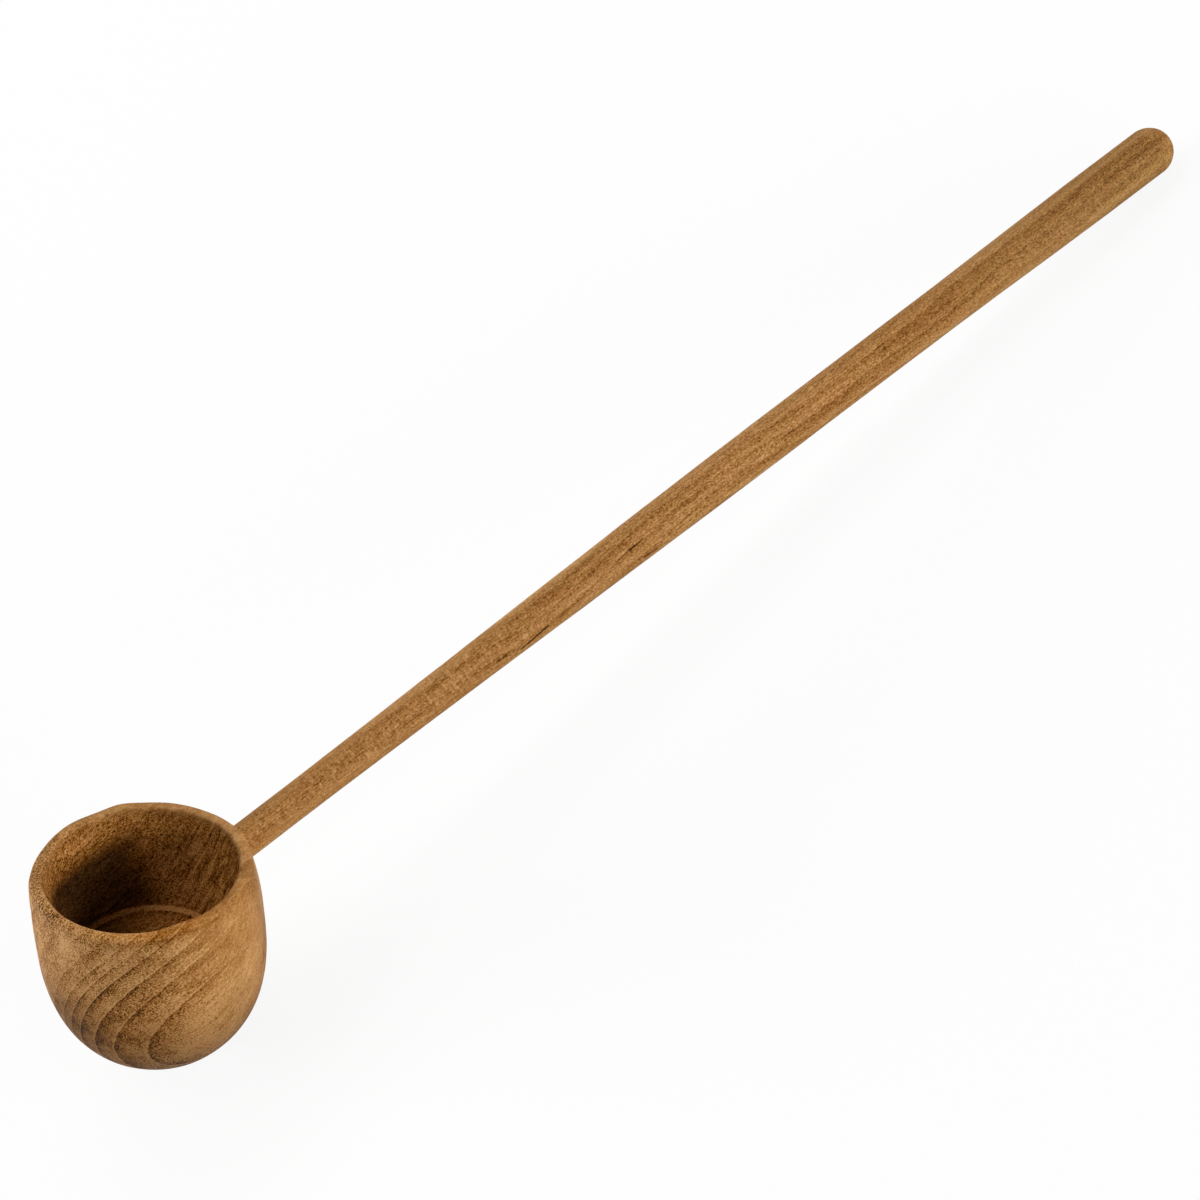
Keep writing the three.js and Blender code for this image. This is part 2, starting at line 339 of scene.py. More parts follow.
class Bench:
    """Adds nodes to one tree and links or sets their inputs: add gives the node, out its first output."""

    def __init__(self, tree):
        self.tree = tree

    def add(self, kind, inputs=(), **settings):
        node = self.tree.nodes.new(kind)
        for name, value in settings.items():
            setattr(node, name, value)
        for socket, value in dict(inputs).items():
            self.feed(node.inputs[socket], value)
        return node

    def out(self, kind, inputs=(), **settings):
        return self.add(kind, inputs, **settings).outputs[0]

    def feed(self, socket, value):
        if isinstance(value, bpy.types.NodeSocket):
            self.tree.links.new(value, socket)
        else:
            socket.default_value = value

    def math(self, operation, first, second=0.0, clamp=False):
        inputs = {0: first, 1: second}
        return self.out("ShaderNodeMath", inputs, operation=operation, use_clamp=clamp)

    def times(self, first, second):
        return self.math("MULTIPLY", first, second)

    def vector(self, operation, first, second=(0, 0, 0)):
        output = "Value" if operation in ("DOT_PRODUCT", "LENGTH", "DISTANCE") else "Vector"
        inputs = {0: first, 1: second}
        return self.add("ShaderNodeVectorMath", inputs, operation=operation).outputs[output]

    def remap(self, value, low, high, new_low=0.0, new_high=1.0, smooth=True):
        inputs = {"Value": value, "From Min": low, "From Max": high}
        inputs |= {"To Min": new_low, "To Max": new_high}
        style = "SMOOTHSTEP" if smooth else "LINEAR"
        return self.out("ShaderNodeMapRange", inputs, interpolation_type=style)

    def noise(self, vector, detail=2.0, roughness=0.5, distortion=0.0):
        inputs = {"Vector": vector, "Scale": 1.0, "Detail": detail}
        inputs |= {"Roughness": roughness, "Distortion": distortion}
        return self.out("ShaderNodeTexNoise", inputs)


def empty_bench(owner):
    """A bench for a material or a world, cleared of its first nodes."""
    owner.use_nodes = True
    owner.node_tree.nodes.clear()
    return Bench(owner.node_tree)


print("node bench ready")

# %% [markdown]
# ## The handle
# The handle is a round rod whose thickness follows a rule: a thin neck at the cup,
# a slow swell to the middle, a little more towards the grip, and a dome at the tip.
# Geometry Nodes suit such a rule. A straight line is bent by a hair, each of its points gets a radius,
# and Curve to Mesh sweeps a circle along it. The sizes stay inputs, so any of them can be tried.

# %% Build the handle's node tree
HANDLE_SIZES = {
    "Start": -0.0008,
    "Length": 0.264,
    "Neck Diameter": NECK_DIAMETER,
    "Middle Diameter": 0.0102,
    "Grip Diameter": 0.0111,
    "Tip Dome": 0.0058,
    "Bow": 0.0004,
    "Uneven Height": 0.00016,
    "Uneven Length": 0.016,
}
MIDDLE_SWELL = (0.03, 0.58)
GRIP_SWELL = (0.72, 0.93)
UNEVEN_STRETCH = (3, 3, 1)
HANDLE_STEPS = 420
HANDLE_SIDES = 96
DOME_SHARE = 0.92
WELD_DISTANCE = 1e-6


def handle_tree():
    tree = bpy.data.node_groups.new("turned_handle", "GeometryNodeTree")
    for name in HANDLE_SIZES:
        tree.interface.new_socket(name=name, in_out="INPUT", socket_type="NodeSocketFloat")
    tree.interface.new_socket(name="Wood", in_out="INPUT", socket_type="NodeSocketMaterial")
    tree.interface.new_socket(name="Geometry", in_out="OUTPUT", socket_type="NodeSocketGeometry")
    bench = Bench(tree)
    size = bench.add("NodeGroupInput").outputs

    line = bench.out("GeometryNodeCurvePrimitiveLine", {"End": (0, 0, 1)})
    fine_line = bench.out("GeometryNodeResampleCurve", {"Curve": line, "Count": HANDLE_STEPS})
    share = bench.math("DIVIDE", bench.out("GeometryNodeInputIndex"), HANDLE_STEPS - 1)
    shaft_share = bench.remap(share, 0.0, DOME_SHARE, smooth=False)
    dome_turn = bench.remap(share, DOME_SHARE, 1.0, 0.0, math.pi / 2, smooth=False)

    shaft_end = bench.math("SUBTRACT", size["Length"], size["Tip Dome"])
    shaft_length = bench.math("SUBTRACT", shaft_end, size["Start"])
    shaft_place = bench.math("ADD", size["Start"], bench.times(shaft_share, shaft_length))
    dome_place = bench.times(size["Tip Dome"], bench.math("SINE", dome_turn))
    along = bench.math("ADD", shaft_place, dome_place)
    along_share = bench.math("DIVIDE", along, size["Length"])

    middle_gain = bench.math("SUBTRACT", size["Middle Diameter"], size["Neck Diameter"])
    middle_gain = bench.times(middle_gain, bench.remap(along_share, *MIDDLE_SWELL))
    grip_gain = bench.math("SUBTRACT", size["Grip Diameter"], size["Middle Diameter"])
    grip_gain = bench.times(grip_gain, bench.remap(along_share, *GRIP_SWELL))
    diameter = bench.math("ADD", size["Neck Diameter"], bench.math("ADD", middle_gain, grip_gain))
    radius = bench.times(diameter, bench.times(bench.math("COSINE", dome_turn), 0.5))

    bow_wave = bench.math("SINE", bench.times(along_share, math.pi))
    bow = bench.times(bench.times(bow_wave, size["Bow"]), -1.0)
    axis_point = bench.out("ShaderNodeCombineXYZ", {"X": bow, "Z": along})
    axis = bench.out("GeometryNodeSetPosition", {"Geometry": fine_line, "Position": axis_point})
    circle = bench.out("GeometryNodeCurvePrimitiveCircle", {"Resolution": HANDLE_SIDES, "Radius": 1.0})
    sweep = {"Curve": axis, "Profile Curve": circle, "Scale": radius, "Fill Caps": True}
    rod = bench.out("GeometryNodeCurveToMesh", sweep)
    rod = bench.out("GeometryNodeMergeByDistance", {"Geometry": rod, "Distance": WELD_DISTANCE})

    place = bench.out("GeometryNodeInputPosition")
    wave_place = bench.vector("MULTIPLY", place, UNEVEN_STRETCH)
    wave_scale = bench.math("DIVIDE", 1.0, size["Uneven Length"])
    waves = {"Vector": wave_place, "Scale": wave_scale, "Detail": 1.0}
    wave = bench.out("ShaderNodeTexNoise", waves)
    height = bench.times(bench.math("SUBTRACT", wave, 0.5), size["Uneven Height"])
    outward = bench.out("GeometryNodeInputNormal")
    push = bench.out("ShaderNodeVectorMath", {0: outward, "Scale": height}, operation="SCALE")
    rod = bench.out("GeometryNodeSetPosition", {"Geometry": rod, "Offset": push})
    rod = bench.out("GeometryNodeSetShadeSmooth", {"Geometry": rod})
    rod = bench.out("GeometryNodeRealizeInstances", {"Geometry": rod})
    rod = bench.out("GeometryNodeSetMaterial", {"Geometry": rod, "Material": size["Wood"]})
    bench.add("NodeGroupOutput", {"Geometry": rod})
    return tree


turned_handle = handle_tree()
print("handle tree:", len(turned_handle.nodes), "nodes")

# %% [markdown]
# ## The handle's place
# The rod stands on the cup's wall just under the rim and rises away from it.
# Its first 0.8 mm lie inside the wall, so that the round end meets the round side with a crisp corner
# and no gap, as the fitted joint does.

# %% Sweep the handle and set it in the cup
handle_along = Vector((math.cos(handle_rise), 0, math.sin(handle_rise)))
handle_under = Vector((math.sin(handle_rise), 0, -math.cos(handle_rise)))
handle_across = handle_along.cross(handle_under)
handle_in_cup = Matrix((handle_under, handle_across, handle_along)).transposed().to_4x4()
handle_in_cup.translation = Vector((RIM_RADIUS, 0, -HANDLE_AXIS_DEPTH))
handle_place = cup_place @ handle_in_cup

handle_wood = bpy.data.materials.new("handle_wood")
blank = new_object("handle_blank", bpy.data.meshes.new("handle_blank"))
sweep = blank.modifiers.new("turned_handle", "NODES")
sweep.node_group = turned_handle
identifiers = {item.name: item.identifier for item in turned_handle.interface.items_tree}
for name, value in HANDLE_SIZES.items():
    sweep[identifiers[name]] = value
sweep[identifiers["Wood"]] = handle_wood

evaluated = blank.evaluated_get(bpy.context.evaluated_depsgraph_get())
handle_mesh = bpy.data.meshes.new_from_object(evaluated)
handle_mesh.name = "teak_handle"
handle_mesh.transform(handle_place)
bpy.data.objects.remove(blank)
handle = new_object("teak_handle", handle_mesh)
print("handle:", len(handle_mesh.vertices), "points,", len(handle_mesh.polygons), "faces")

# %% [markdown]
# ## How the teak is laid out
# Wood isn't painted on a surface: growth rings are long cylinders round the pith of the log,
# and the cup and the handle are both cut out of them. So the pattern is worked out in space.
# A Mapping node of the Texture type moves each point into the log's own frame,
# where X runs along the fibre and Y and Z go across it.
# Every layer of the figure then adds to one number, the tone, and the tone picks the colour.
# A fade is four numbers: where it starts and ends, and the level before and after.

# %% Tools for layers of wood
HAIRLINE_CORE = 0.4


def log_frame(origin, along, towards):
    """The frame of a log: X along the fibre, Y across it on the side of towards."""
    across = (towards - along * towards.dot(along)).normalized()
    place = Matrix((along, across, along.cross(across))).transposed().to_4x4()
    place.translation = origin
    return place


def in_log(bench, place):
    """Object coordinates moved into a log's frame."""
    point = bench.add("ShaderNodeTexCoord").outputs["Object"]
    inputs = {"Vector": point, "Location": place.translation, "Rotation": place.to_euler()}
    return bench.out("ShaderNodeMapping", inputs, vector_type="TEXTURE")


def along_log(bench, log):
    """How far along the fibre each point is."""
    return bench.out("ShaderNodeSeparateXYZ", {0: log})


def streaks(bench, log, length, width, detail=2.0, roughness=0.5, distortion=0.0):
    """Noise drawn out along the fibre. A pattern gives these numbers in this order."""
    stretched = bench.vector("DIVIDE", log, (length, width, width))
    return bench.noise(stretched, detail, roughness, distortion)


def layer(bench, tone, pattern, amount):
    """Adds a pattern that swings round one half to the tone."""
    swing = bench.math("SUBTRACT", pattern, 0.5)
    return bench.math("ADD", tone, bench.times(swing, amount))


def streaked(bench, tone, log, *layers):
    """Adds patterns of streaks to the tone, each with its amount."""
    for pattern, amount in layers:
        tone = layer(bench, tone, streaks(bench, log, *pattern), amount)
    return tone


def more(bench, tone, mask, amount):
    """Makes the tone paler, or darker for a negative amount, where the mask is 1."""
    return bench.math("ADD", tone, bench.times(mask, amount))


def ramp(bench, value, stops):
    """A curve through (place, level) stops, where a level is a grey or a colour."""
    node = bench.add("ShaderNodeValToRGB", {"Fac": value})
    elements = node.color_ramp.elements
    while len(elements) < len(stops):
        elements.new(1.0)
    for element, (place, level) in zip(elements, stops):
        element.position = place
        element.color = (*(level if isinstance(level, tuple) else [level] * 3), 1)
    return node.outputs["Color"]


def hairline(bench, point, start, end, width):
    """A mask that is 1 along the line from start to end and fades over the width."""
    run = end - start
    offset = bench.vector("SUBTRACT", point, start)
    along = bench.vector("DOT_PRODUCT", offset, run)
    share = bench.math("DIVIDE", along, run.length_squared, clamp=True)
    nearest = bench.out("ShaderNodeVectorMath", {0: run, "Scale": share}, operation="SCALE")
    gap = bench.vector("DISTANCE", offset, nearest)
    return bench.remap(gap, width * HAIRLINE_CORE, width, 1.0, 0.0)


def on_surface(piece, point, log):
    """The nearest point of a piece's surface, in a log's frame."""
    return log.inverted() @ piece.closest_point_on_mesh(point)[1]


print("wood tools ready")

# %% [markdown]
# ## Oiled teak
# The real spoon has a thin rub of oil, so it is dull all over.
# A clear coat on the shader would look like varnish. Here the tone picks a colour between
# dark heartwood and pale sapwood, darker wood is rougher, raw wood that no hand rubs is rougher still,
# and a shallow bump gives the open pores their relief.

# %% Turn a tone into oiled teak
TEAK_TONES = [
    (0.00, (0.016, 0.005, 0.0008)),
    (0.30, (0.182, 0.067, 0.0092)),
    (0.55, (0.326, 0.1465, 0.0395)),
    (0.78, (0.444, 0.230, 0.080)),
    (1.00, (0.585, 0.331, 0.132)),
]
WARM_STREAKS = (0.010, 0.0022)
WARM_SPREAD = (0.3, 0.7)
SAME_HUE = 0.5
HUE_SWING = 0.0035
ROUGHNESS_FADE = (0.2, 0.8, 0.68, 0.55)
RAW_ROUGHNESS = 0.4
DULL_SPECULAR = 0.07
PORE_EDGE = (0.60, 0.70)
SPECKLE_RELIEF = 0.6
RELIEF = 0.0001
RELIEF_STRENGTH = 0.4


def open_pores(bench, log, pattern):
    """A mask of the open pores, the crests of fine streaks."""
    return bench.remap(streaks(bench, log, *pattern), *PORE_EDGE)


def oiled_wood(bench, log, tone, speckle, pores, red, rich, light=1.0, raw=0.0):
    """Ends a wood tree: colour and gloss from the tone, fine relief from the speckle and pores."""
    warm = streaks(bench, log, *WARM_STREAKS)
    hue = bench.remap(warm, *WARM_SPREAD, SAME_HUE + HUE_SWING, SAME_HUE - HUE_SWING, smooth=False)
    colour = bench.out("ShaderNodeHueSaturation", {
        "Hue": bench.math("SUBTRACT", hue, red),
        "Saturation": rich,
        "Value": light,
        "Color": ramp(bench, tone, TEAK_TONES),
    })
    height = bench.math("SUBTRACT", bench.times(speckle, SPECKLE_RELIEF), pores)
    bumps = {"Height": height, "Strength": RELIEF_STRENGTH, "Distance": RELIEF}
    roughness = bench.remap(tone, *ROUGHNESS_FADE)
    shader = bench.out("ShaderNodeBsdfPrincipled", {
        "Base Color": colour,
        "Roughness": more(bench, roughness, raw, RAW_ROUGHNESS),
        "Specular IOR Level": DULL_SPECULAR,
        "Normal": bench.out("ShaderNodeBump", bumps),
    })
    bench.add("ShaderNodeOutputMaterial", {"Surface": shader})


print("teak runs through", len(TEAK_TONES), "tones")

# %% [markdown]
# ## Places on the cup
# Some places of the cup get painted shade and others painted light, and tools leave their marks.
# Such places have no sharp edge. They could be painted by hand as vertex colours,
# but here each point of the mesh stores plain numbers, worked out from its angle round the cup
# and its depth under the rim, and the material reads them back by name.

# %% Mark the places on the cup
FIBRE_RISE = 24.9
FIBRE_TURN = 2.3
HOLLOW_EDGE = 0.002
RIM_TOP_DEPTH = 0.0025
RIM_EDGE_DEPTH = 0.0013
RIM_EDGE_WIDTH = 0.0005
LEDGE_SHINE = 0.0003
LIT_LEDGE = (35, 38)
TOOL_SIDE = (8, 35)


def slope(value, low, high):
    """0 below low, 1 above high and a straight rise between them."""
    return np.clip((value - low) / (high - low), 0, 1)


def between(value, low, high):
    """The same with a smooth rise."""
    share = slope(value, low, high)
    return share * share * (3 - 2 * share)


def side(at, spread):
    """A soft mask on one side of the cup, by the angle from the handle."""
    return np.exp(-(degrees_from(turn, at) / spread) ** 2)


def band(place, width):
    """A soft mask along one depth under the rim."""
    return np.exp(-((depth - place) / width) ** 2)


def patches(spots):
    """The sum of soft round spots: angle, depth, spread in degrees, reach in depth, and amount."""
    total = np.zeros((len(section), CUP_SEGMENTS))
    for at, middle, spread, reach, amount in spots:
        total += amount * side(at, spread) * band(middle, reach)
    return total


def paint(name, values):
    """Stores a number at each point of the cup. A middle point takes the mean of its ring."""
    stored = cup_mesh.attributes.new(name, "FLOAT", "POINT")
    values = np.append(values, [values[0].mean(), values[-1].mean()])
    stored.data.foreach_set("value", values.astype(np.float32))


fibre_angles = (0, -math.radians(FIBRE_RISE), math.radians(FIBRE_TURN))
fibre_in_cup = Euler(fibre_angles).to_matrix() @ Vector((1, 0, 0))
grid = rings.reshape(len(section), CUP_SEGMENTS, 3)
along_fibre = grid @ np.array(fibre_in_cup)
in_hollow = np.where(is_inside, slope(depth, 0, HOLLOW_EDGE), 0) + 0 * turn
tool_marks = in_hollow * side(*TOOL_SIDE)
# painted light on the ledge, which faces up to the opening, brightest on one side
ledge = band(LEDGE_DEPTH, LEDGE_SHINE)
lit_ledge = ledge * side(*LIT_LEDGE)
rim_top = 1 - slope(depth, 0, RIM_TOP_DEPTH) + 0 * turn
rim_edge = np.where(is_inside, 0, band(RIM_EDGE_DEPTH, RIM_EDGE_WIDTH)) + 0 * turn
paint("hollow", in_hollow)
paint("tool_marks", tool_marks)
paint("rim", rim_top)
paint("rim_edge", rim_edge)
print("points in the hollow:", int((in_hollow > 0).sum()))

# %% [markdown]
# ## Painted shade on the cup
# The far wall of the hollow lies in shade, painted nearly black-brown below a soft, slanting line.
# The floor is painted darker away from the handle, and the bottom of the cup darker than its side, as
# painted shade.
# A few patches outside are painted shade over darker wood.
# Darkening the tone would hide the grain. The painted shade dims the finished colour instead,
# so the grain under it stays.

# %% Paint the shade
# painted shade on the hollow's far wall below a slanting line, and on its floor
HOLLOW_SHADE = dict(at=106, swing=12, spread=44, sharp=6, shade_line=0.0044, slant=0.00005, fade=0.0068, dim=0.895)
SWING_DEPTHS = (0.012, 0.022)
DEEP_DEPTHS = (0.013, 0.018)
DEEP_LIGHT = 0.03
FLOOR_FADE = (-0.008, 0.010, 0.96, 0.03)
UNDER_DEPTHS = (0.017, 0.039)
UNDER_FADE = (-0.012, 0.012, 0.40, 0.04)
LEDGE_LESS_SHADE = 0.25
LIT_LEDGE_LESS_SHADE = 0.65
# patches of painted shade in the hollow
HOLLOW_SHADE_PATCHES = [
    (45, 0.0040, 16, 0.005, 0.20),
    (138, 0.0025, 14, 0.004, 0.25),
    (122, 0.0055, 12, 0.003, 0.12),
    (97, 0.0025, 13, 0.0025, 0.24),
    (70, 0.0060, 10, 0.003, 0.15),
]
# patches of painted shade on the outside of the cup, over darker wood in places
SHADE_AND_DARK_PATCHES = [
    (-166, 0.026, 28, 0.011, 0.44),
    (-115, 0.026, 14, 0.006, 0.14),
    (-70, 0.022, 12, 0.006, 0.14),
    (-50, 0.032, 22, 0.006, 0.15),
    (-33, 0.014, 10, 0.020, 0.38),
    (-146, 0.0060, 4.5, 0.0016, 0.22),
    (-135, 0.0023, 8, 0.0013, 0.22),
    (-153, 0.0030, 7, 0.0016, 0.14),
    (-112, 0.0010, 32, 0.0014, 0.14),
]


def fade(value, low, high, before, after):
    """Goes from one level to another between low and high."""
    return before + (after - before) * between(value, low, high)


def far_wall_shade():
    """How much painted shade dims the hollow's far wall, from a slanting line down."""
    middle = HOLLOW_SHADE["at"] - HOLLOW_SHADE["swing"] * between(depth, *SWING_DEPTHS)
    off = degrees_from(turn, middle) / HOLLOW_SHADE["spread"]
    shade_line = HOLLOW_SHADE["shade_line"] + HOLLOW_SHADE["slant"] * np.minimum(degrees_from(turn, HOLLOW_SHADE["at"]), 0)
    shade_amount = between(depth - shade_line, 0, HOLLOW_SHADE["fade"]) * np.exp(-off ** HOLLOW_SHADE["sharp"])
    return shade_amount * (1 - DEEP_LIGHT * between(depth, *DEEP_DEPTHS))


on_floor = depth > LEDGE_DEPTH + LEDGE_STEP / 2
floor_shade = fade(grid[:, :, 0], *FLOOR_FADE)
# painted shade: the far wall and the floor of the hollow are dimmed
shaded_hollow = np.where(on_floor, floor_shade, far_wall_shade()) * HOLLOW_SHADE["dim"]
# the painted shade is lighter on the lit ledge
shaded_hollow *= 1 - LEDGE_LESS_SHADE * ledge - LIT_LEDGE_LESS_SHADE * lit_ledge
# painted shade under the cup, darkest on the side away from the handle
shade_under_cup = slope(depth, *UNDER_DEPTHS) * fade(along_fibre, *UNDER_FADE)
shade_and_dark_wood = np.where(is_inside, shaded_hollow + patches(HOLLOW_SHADE_PATCHES), shade_under_cup + patches(SHADE_AND_DARK_PATCHES))
paint("shade_and_dark_wood", shade_and_dark_wood)
print("oil dims the cup by up to", round(float(shade_and_dark_wood.max()), 2))

# %% [markdown]
# ## Painted light, painted shade and redder places
# The handle side of the cup and some patches outside get painted light over paler wood in places, and so
# does the ledge in the hollow, which faces up to the opening.
# The hollow gets a little painted shade, and the step under the ledge a thin painted shadow.
# The hollow, the front of the rim and the front of the cup are a little redder than the rest.
# One colour picked for each place would flatten the wood. Painted light and shade shift the tone
# and redder places turn the hue, so that every streak keeps its own colour.

# %% Paint the light, the shade and the redder places
HANDLE_SIDE_LIGHT_DEPTHS = (0.001, 0.007)
HANDLE_SIDE_LIGHT_REACH = (0.0, 0.022)
HANDLE_SIDE_LIGHT = 0.21
STEP_SHADE_WIDTH = 0.0003
STEP_SHADE_REACH = 0.0004
FLOOR_START = (LEDGE_DEPTH - 0.002, LEDGE_DEPTH - 0.0005)
FRONT_RIM = (-112, 40)
FRONT_FACE = (-115, 0.024, 40, 0.014, 1.0)
# patches of painted light outside the cup, over paler wood in places
LIT_AND_PALE_PATCHES = [
    (-110, 0.007, 25, 0.006, 0.09),
    (-93, 0.031, 16, 0.006, 0.14),
    (-115, 0.017, 24, 0.009, 0.05),
    (-93, 0.006, 14, 0.004, 0.10),
    (-157, 0.0060, 7, 0.0024, 0.18),
    (-140, 0.0064, 6, 0.0015, 0.16),
    (-161, 0.0142, 6, 0.0026, 0.17),
]

step_shade = band(floor_depth, STEP_SHADE_WIDTH) * (radius > floor_radius - STEP_SHADE_REACH)
# painted light on the handle side of the cup
lit_handle_side = slope(depth, *HANDLE_SIDE_LIGHT_DEPTHS) * between(along_fibre, *HANDLE_SIDE_LIGHT_REACH)
# painted light on the ledge, painted shade over the hollow and a painted shadow on the step under the
# ledge
hollow_light_and_shade = (
    0.18 * ledge + 0.42 * lit_ledge - 0.25 * step_shade - 0.12 * in_hollow - 0.05 * tool_marks)
pale = np.where(is_inside, hollow_light_and_shade, HANDLE_SIDE_LIGHT * lit_handle_side + patches(LIT_AND_PALE_PATCHES))
ledge_and_floor = np.where(is_inside, between(depth, *FLOOR_START), 0)
front_face = np.where(is_inside, 0, patches([FRONT_FACE]))
ruddy = (
    0.28 * in_hollow + 0.30 * tool_marks + 0.40 * ledge_and_floor
    + rim_top * side(*FRONT_RIM) - 0.30 * rim_top + 0.35 * front_face)
paint("pale", pale)
paint("ruddy", ruddy)
print("the cup is paler by up to", round(float(pale.max()), 2))

# %% [markdown]
# ## The cup's teak
# The cup shows the rings best: they run down its side and turn under it in long hooks.
# Each ring starts with a thin pale line, darkens slowly and stops at a dark edge.
# A Wave texture gives even rings. A ramp from the distance to the years gives each its own width.
# The pith lies outside the cup, on the near side and low, along the handle's direction.

# %% Grow the cup's rings
PITH_ACROSS = -0.0400
PITH_BELOW = -0.0311
RING_EDGES = [0.0, 0.006, 0.012, 0.0175, 0.02284, 0.02838, 0.03259, 0.03644, 0.0390, 0.04137,
              0.0450, 0.0488, 0.0524, 0.0560, 0.0597, 0.0635, 0.0670, 0.0710, 0.0750]
RING_LIGHT = [(0.0, 0.9), (0.05, 1.0), (0.11, 0.64), (0.45, 0.58),
              (0.80, 0.30), (0.95, 0.05), (0.985, 0.0), (1.0, 0.9)]
RING_DRIFT = (0.030, 0.009), 0.0006
RING_WOBBLE = (0.004, 0.0012, 1.0), 0.0005
RING_CONTRAST = 0.62
WEAKEST_RING = 0.7
YEAR_FADES = [(3.0, 4.0, 0.15, 1.0), (8.0, 10.0, 1.0, 0.4)]
LENGTH_FADES = [(-0.026, -0.012, 1.5, 0.85), (-0.012, 0.006, 1.0, 0.24)]
EVEN_TONE = 0.60
HEART_LIGHT = [(0.0, 1.0), (0.32, 0.95), (0.39, 0.50), (0.60, 0.42),
               (0.68, 0.62), (0.80, 0.75), (1.0, 0.5)]
HEART_REACH = 0.060
HEART_CONTRAST = 0.5

cup_log = log_frame(rim_centre, cup_place.to_3x3() @ fibre_in_cup, cup_across)
cup_log.translation = cup_log @ Vector((0, PITH_ACROSS, PITH_BELOW))


def ring_years(bench, log):
    """The distance from the pith, and the rings counted outwards with the part of the last one."""
    across = bench.vector("MULTIPLY", log, (0, 1, 1))
    distance = bench.vector("LENGTH", across)
    distance = streaked(bench, distance, log, RING_DRIFT, RING_WOBBLE)
    last = len(RING_EDGES) - 1
    stops = [(edge / RING_EDGES[-1], year / last) for year, edge in enumerate(RING_EDGES)]
    share = ramp(bench, bench.math("DIVIDE", distance, RING_EDGES[-1]), stops)
    return distance, bench.times(share, last)


def cup_rings(bench, log, along):
    """The tone of the rings, each with its own strength, and of the heartwood they lie in."""
    distance, years = ring_years(bench, log)
    light = ramp(bench, bench.math("FRACT", years), RING_LIGHT)
    year = bench.math("FLOOR", years)
    chance = bench.out("ShaderNodeTexWhiteNoise", {"W": year}, noise_dimensions="1D")
    strength = bench.remap(chance, 0, 1, WEAKEST_RING * RING_CONTRAST, RING_CONTRAST)
    for value, fades in ((years, YEAR_FADES), (along, LENGTH_FADES)):
        for levels in fades:
            strength = bench.times(strength, bench.remap(value, *levels))
    tone = layer(bench, EVEN_TONE, light, strength)
    heart = bench.remap(distance, 0.0, HEART_REACH, smooth=False)
    return layer(bench, tone, ramp(bench, heart, HEART_LIGHT), HEART_CONTRAST)


print("cup rings:", len(RING_EDGES) - 1, "years")

# %% [markdown]
# ## Streaks and tool marks of the cup
# Between the rings the wood is streaked along the fibre, coarse at the far end of the cup
# and finer towards the handle. In the hollow a turning tool left short strokes that run their own way.
# An image texture would smear over such a round wall.
# Noise drawn out along a direction in space cuts through it cleanly.

# %% Streak the cup's wood
CUP_BANDS = (0.030, 0.006), 0.35
CUP_BLOTCHES = (0.008, 0.0035)
CUP_FIBRES = (0.012, 0.0010, 3.0, 0.6)
CUP_SHORT_FIBRES = (0.0030, 0.00045), 0.5
HOLLOW_FIBRES = (0.012, 0.0007)
TOOL_STROKES = (0.009, 0.0007)
BLOTCH_FADE = (-0.024, -0.012, 1.05, 0.4)
FIBRE_FADE = (-0.012, 0.008, 0.65, 0.4)
HOLLOW_CALM = 0.45
HOLLOW_FIBRES_ADD = 0.9
TOOL_STROKES_ADD = 2.1
SCRATCHES = [((0.0143, 0.0070, -0.0235), (0.0176, 0.0039, -0.0154)),
             ((0.0174, 0.0024, -0.0172), (0.0187, 0.0000, -0.0130))]

tool_stroke = (Vector(SCRATCHES[0][1]) - Vector(SCRATCHES[0][0])).normalized()
tool_frame = log_frame(rim_centre, cup_place.to_3x3() @ tool_stroke, cup_across)


def cup_streaks(bench, log, along, place, tone):
    """Streaks of several sizes, bolder at the far end of the cup and finer in the hollow."""
    calm = bench.remap(place["hollow"], 0.0, 1.0, 1.0, HOLLOW_CALM)
    blotches = bench.times(calm, bench.remap(along, *BLOTCH_FADE))
    fibres = bench.times(calm, bench.remap(along, *FIBRE_FADE))
    hollow_fibres = bench.times(place["hollow"], HOLLOW_FIBRES_ADD)
    strokes = bench.times(place["tool_marks"], TOOL_STROKES_ADD)
    tone = streaked(
        bench, tone, log, CUP_BANDS, (CUP_BLOTCHES, blotches), (CUP_FIBRES, fibres),
        CUP_SHORT_FIBRES, (HOLLOW_FIBRES, hollow_fibres))
    return streaked(bench, tone, in_log(bench, tool_frame), (TOOL_STROKES, strokes))


print("tool strokes run along", [round(v, 2) for v in tool_stroke])

# %% [markdown]
# ## The finished cup
# Open pores, painted shade on the rim's top and along its outer edge, and two pale scratches in the
# hollow come last.
# A scratch could be cut into the mesh, but a thin line in space is enough for one this small.
# The numbers painted on the cup then say where it gets painted light and painted shade, and how red its
# wood is at each place.

# %% Mix the cup's teak
CUP_SPECKLE = (0.0005, 0.00028, 1.0, 0.6)
CUP_PORES = (0.0030, 0.00028, 1.0)
RIM_SHADE_BREAKS = (0.006, 0.003)
RIM_SHADE_BREAKS_EDGE = (0.35, 0.6)
COARSE_FADE = (-0.026, 0.008, 1.3, 0.35)
COARSE_TOOL_MARKS = 0.4
# the rim's top and its outer edge get painted shade
CUP_ADDS = dict(speckle=2.1, pores=-0.14, rim=-0.05, rim_edge_shade=-0.11, scratches=0.45)
# where the painted shade dims the cup, the colour is also redder and richer
CUP_RED = dict(shade_and_dark_wood=0.008, ruddy=0.009)
CUP_RICH = dict(shade_and_dark_wood=0.10, ruddy=0.09, tool_marks=0.035)
SCRATCH_WIDTH = 0.00045
PAINTED = ("pale", "shade_and_dark_wood", "ruddy", "hollow", "tool_marks", "rim", "rim_edge")

